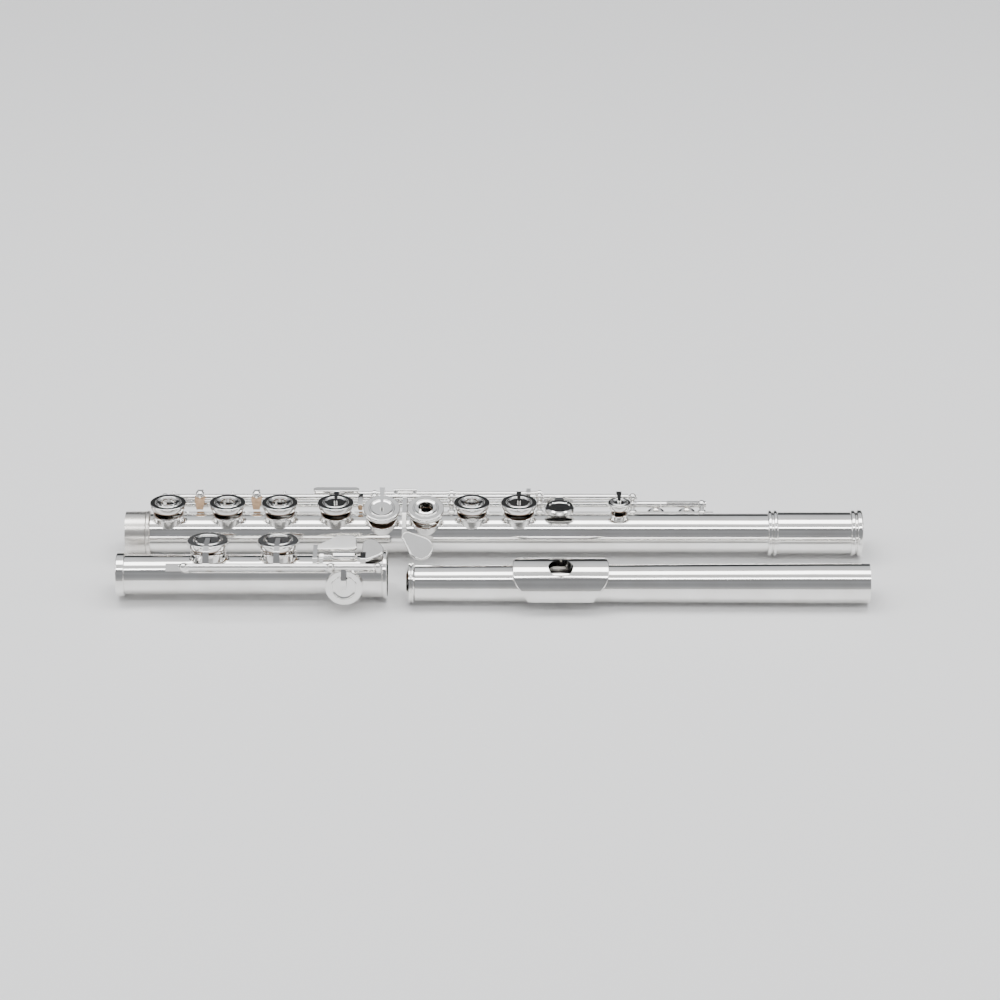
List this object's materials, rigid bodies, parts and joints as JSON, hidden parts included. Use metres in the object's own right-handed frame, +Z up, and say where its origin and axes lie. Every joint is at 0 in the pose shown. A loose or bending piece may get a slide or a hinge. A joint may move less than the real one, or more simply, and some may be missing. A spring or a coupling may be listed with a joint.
{
  "type": "concert flute",
  "caption": "Open-hole concert flute with C foot and offset G, taken apart into body, foot joint and head joint, every key turning on its rod.",
  "frame": {"origin": "centre of the barrel's mouth on the body's axis", "axes": "+X along the body's axis out of the barrel's mouth, +Y towards the key rods, +Z up"},
  "size_m": [0.369, 0.0761, 0.033],
  "materials": {
    "silver": "polished",
    "satin_silver": "satin",
    "steel": "polished",
    "pad": "matte",
    "cork": "matte"
  },
  "bodies": {
    "flute_body": {"body_tube": "silver", "barrel_sleeve": "silver", "foot_tenon_sleeve": "satin_silver", "body_ribs": "silver", "body_posts": "silver", "main_steels": "steel", "key_springs": "steel"},
    "d": {"d_key": "silver", "d_pad": "pad"},
    "e": {"e_key": "silver", "e_pad": "pad"},
    "f": {"f_key": "silver", "f_pad": "pad"},
    "f_sharp": {"f_sharp_key": "silver", "f_sharp_pad": "pad"},
    "g": {"g_key": "silver", "g_pads": "pad"},
    "a": {"a_key": "silver", "a_pad": "pad"},
    "b_flat": {"b_flat_key": "silver", "b_flat_pad": "pad"},
    "c": {"c_key": "silver", "c_pad": "pad"},
    "thumb": {"thumb_key": "silver", "thumb_pad": "pad"},
    "g_sharp": {"g_sharp_key": "silver", "g_sharp_pad": "pad"},
    "d_trill": {"d_trill_key": "silver", "d_trill_pad": "pad", "d_trill_cork": "cork"},
    "d_sharp_trill": {"d_sharp_trill_key": "silver", "d_sharp_trill_pad": "pad", "d_sharp_trill_cork": "cork"},
    "b_flat_lever": {"b_flat_lever": "silver"},
    "foot": {"foot_tube": "silver", "foot_end_ring": "silver", "foot_socket": "silver", "foot_rib": "silver", "foot_posts": "silver", "foot_steel": "steel"},
    "low_c": {"low_c_key": "silver", "low_c_pad": "pad"},
    "low_c_sharp": {"low_c_sharp_key": "silver", "low_c_sharp_pad": "pad", "roller_pin": "steel"},
    "foot_d_sharp": {"foot_d_sharp_key": "silver", "foot_d_sharp_pad": "pad"},
    "c_roller": {"c_roller": "silver"},
    "head": {"head_tube": "silver", "lip_plate": "silver", "lip_riser": "silver"},
    "crown": {"crown": "silver"},
    "stopper": {"stopper_cork": "cork", "stopper_rod": "steel"}
  },
  "joints": [
    {"name": "d_turn", "type": "hinge", "parent": "flute_body", "child": "d", "pos_m": [-0.34, 0.01395, 0.01225], "axis": [1, 0, 0], "range_deg": [0, 7.5], "stiffness_Nm_per_rad": 0.02, "springref_deg": -20.05},
    {"name": "e_turn", "type": "hinge", "parent": "flute_body", "child": "e", "pos_m": [-0.316, 0.01395, 0.01225], "axis": [1, 0, 0], "range_deg": [0, 7.5], "stiffness_Nm_per_rad": 0.02, "springref_deg": -20.05},
    {"name": "f_turn", "type": "hinge", "parent": "flute_body", "child": "f", "pos_m": [-0.29, 0.01395, 0.01225], "axis": [1, 0, 0], "range_deg": [0, 7.5], "stiffness_Nm_per_rad": 0.02, "springref_deg": -20.05},
    {"name": "f_sharp_turn", "type": "hinge", "parent": "flute_body", "child": "f_sharp", "pos_m": [-0.262, 0.01395, 0.01225], "axis": [1, 0, 0], "range_deg": [0, 7.5], "stiffness_Nm_per_rad": 0.02, "springref_deg": -20.05},
    {"name": "g_turn", "type": "hinge", "parent": "flute_body", "child": "g", "pos_m": [-0.228, 0.01395, 0.01225], "axis": [1, 0, 0], "range_deg": [0, 7.5], "stiffness_Nm_per_rad": 0.02, "springref_deg": -20.05},
    {"name": "a_turn", "type": "hinge", "parent": "flute_body", "child": "a", "pos_m": [-0.193, 0.01395, 0.01225], "axis": [1, 0, 0], "range_deg": [0, 7.5], "stiffness_Nm_per_rad": 0.02, "springref_deg": -20.05},
    {"name": "b_flat_turn", "type": "hinge", "parent": "flute_body", "child": "b_flat", "pos_m": [-0.172, 0.01395, 0.01225], "axis": [1, 0, 0], "range_deg": [0, 7.5], "stiffness_Nm_per_rad": 0.02, "springref_deg": -20.05},
    {"name": "c_turn", "type": "hinge", "parent": "flute_body", "child": "c", "pos_m": [-0.135, 0.01395, 0.01225], "axis": [1, 0, 0], "range_deg": [0, 7.5], "stiffness_Nm_per_rad": 0.02, "springref_deg": -20.05},
    {"name": "thumb_turn", "type": "hinge", "parent": "flute_body", "child": "thumb", "pos_m": [-0.156, 0.01395, 0.01225], "axis": [1, 0, 0], "range_deg": [-7, 0], "stiffness_Nm_per_rad": 0.02, "springref_deg": 20.05},
    {"name": "g_sharp_turn", "type": "hinge", "parent": "flute_body", "child": "g_sharp", "pos_m": [-0.228, 0.01395, 0.01225], "axis": [1, 0, 0], "range_deg": [0, 8], "stiffness_Nm_per_rad": 0.02, "springref_deg": -20.05},
    {"name": "d_trill_turn", "type": "hinge", "parent": "flute_body", "child": "d_trill", "pos_m": [-0.2, 0.01415, 0.00775], "axis": [1, 0, 0], "range_deg": [0, 9], "stiffness_Nm_per_rad": 0.02, "springref_deg": -20.05},
    {"name": "d_sharp_trill_turn", "type": "hinge", "parent": "flute_body", "child": "d_sharp_trill", "pos_m": [-0.215, 0.01415, 0.00775], "axis": [1, 0, 0], "range_deg": [0, 9], "stiffness_Nm_per_rad": 0.02, "springref_deg": -20.05},
    {"name": "b_flat_lever_turn", "type": "hinge", "parent": "flute_body", "child": "b_flat_lever", "pos_m": [-0.22, 0.01775, 0.01195], "axis": [1, 0, 0], "range_deg": [0, 5], "stiffness_Nm_per_rad": 0.02, "springref_deg": -20.05},
    {"name": "foot_lift", "type": "slide", "parent": "flute_body", "child": "foot", "axis": [0, 0, 1], "range_m": [0, 0.1]},
    {"name": "low_c_turn", "type": "hinge", "parent": "foot", "child": "low_c", "pos_m": [-0.32, -0.05161, 0.01446], "axis": [1, 0, 0], "range_deg": [-6, 0], "stiffness_Nm_per_rad": 0.02, "springref_deg": 20.05},
    {"name": "low_c_sharp_turn", "type": "hinge", "parent": "foot", "child": "low_c_sharp", "pos_m": [-0.285, -0.05161, 0.01446], "axis": [1, 0, 0], "range_deg": [-6, 0], "stiffness_Nm_per_rad": 0.02, "springref_deg": 20.05},
    {"name": "foot_d_sharp_turn", "type": "hinge", "parent": "foot", "child": "foot_d_sharp", "pos_m": [-0.25, -0.05161, 0.01446], "axis": [1, 0, 0], "range_deg": [-6, 0], "stiffness_Nm_per_rad": 0.02, "springref_deg": 20.05},
    {"name": "c_roller_spin", "type": "hinge", "parent": "low_c_sharp", "child": "c_roller", "pos_m": [-0.2568, -0.04342, 0.01506], "axis": [1, 0, 0], "continuous": true},
    {"name": "head_lift", "type": "slide", "parent": "flute_body", "child": "head", "axis": [0, 0, 1], "range_m": [0, 0.1]},
    {"name": "crown_turn", "type": "hinge", "parent": "head", "child": "crown", "pos_m": [-0.226, -0.0422, -0.0017], "axis": [1, 0, 0], "range_deg": [-720, 720]},
    {"name": "stopper_slide", "type": "slide", "parent": "head", "child": "stopper", "axis": [1, 0, 0], "range_m": [-0.0015, 0.0015]}
  ],
  "couplings": [
    {"joint": "f_sharp_turn", "follows": "f_turn", "ratio": 1},
    {"joint": "b_flat_turn", "follows": "a_turn", "ratio": 1},
    {"joint": "stopper_slide", "follows": "crown_turn", "m_per_rad": 0.00011937}
  ]
}
